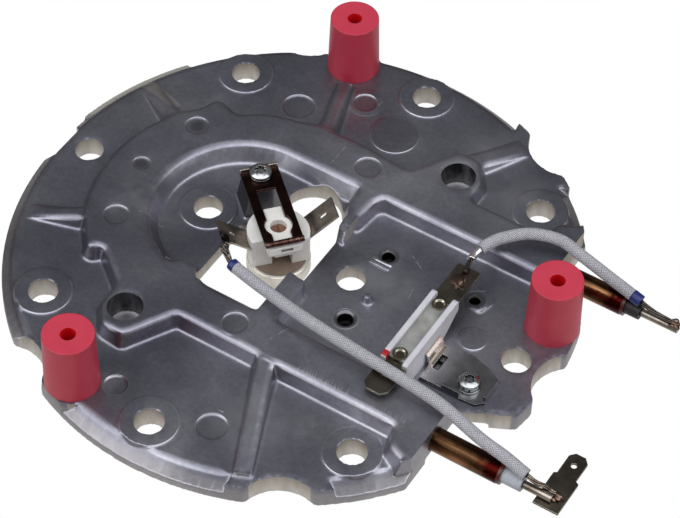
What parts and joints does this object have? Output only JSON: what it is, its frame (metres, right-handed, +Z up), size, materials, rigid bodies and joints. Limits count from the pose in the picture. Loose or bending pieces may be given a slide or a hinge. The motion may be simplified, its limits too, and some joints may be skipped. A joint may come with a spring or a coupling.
{
  "type": "heating element",
  "caption": "Round cast aluminium heater plate with a cast-in U-shaped tube, temperature control, thermal cut-out, rubber spacers and two sleeved leads.",
  "frame": {"origin": "centre of the bolt circle, in the plane of the rim's lower edge", "axes": "+Z up, away from the boiler; +X the way the tube's ends leave the plate"},
  "size_m": [0.1595, 0.1406, 0.0224],
  "materials": {
    "cast_aluminium": "die cast, glossy skin",
    "sheath": "heat-tinted, satin",
    "magnesia": "packed powder, matte",
    "coil_wire": "satin",
    "pin_metal": "satin, tarnished",
    "seal": "semi-gloss",
    "pale_ceramic": "matte ceramic",
    "dark_insulator": "matte",
    "tab_metal": "satin, tarnished",
    "spacer_rubber": "matte silicone rubber",
    "cup_aluminium": "satin",
    "bimetal": "satin",
    "brown_disc": "satin",
    "white_ceramic": "matte ceramic",
    "blade_metal": "satin, tarnished",
    "brown_slug": "satin",
    "dark_steel": "blackened, semi-gloss",
    "zinc_steel": "bright zinc",
    "grey_lid": "satin",
    "rivet_metal": "satin, nickelled",
    "bracket_aluminium": "satin",
    "clip_metal": "satin",
    "sleeve": "woven glass fibre, satin",
    "conductor": "satin, tarnished",
    "band_ink": "semi-gloss"
  },
  "bodies": {
    "root": {"heater_plate": "cast_aluminium", "tube_sheath": "sheath", "magnesia_fill": "magnesia", "resistance_coil": "coil_wire", "pin_near": "pin_metal", "pin_far": "pin_metal", "seal_near": "seal", "seal_far": "seal", "insulator_near": "pale_ceramic", "insulator_far": "dark_insulator", "terminal_tab": "tab_metal", "spacer_left": "spacer_rubber", "spacer_rear": "spacer_rubber", "spacer_right": "spacer_rubber", "control_cup": "cup_aluminium", "control_bimetal": "bimetal", "control_disc": "brown_disc", "control_body": "white_ceramic", "control_blade_left": "blade_metal", "control_blade_right": "blade_metal", "control_adjuster": "brown_slug", "control_clamp": "dark_steel", "control_washer": "zinc_steel", "control_screw": "zinc_steel", "cutout_body": "white_ceramic", "cutout_lid": "grey_lid", "cutout_rivets": "rivet_metal", "cutout_blade_rear": "blade_metal", "cutout_blade_front": "blade_metal", "cutout_bracket": "bracket_aluminium", "cutout_clip": "clip_metal", "cutout_washer": "zinc_steel", "cutout_spring_washer": "zinc_steel", "cutout_screw": "zinc_steel", "long_lead_sleeve": "sleeve", "long_lead_wire": "conductor", "long_lead_band": "band_ink", "short_lead_sleeve": "sleeve", "short_lead_wire": "conductor", "short_lead_band": "band_ink"}
  },
  "joints": []
}
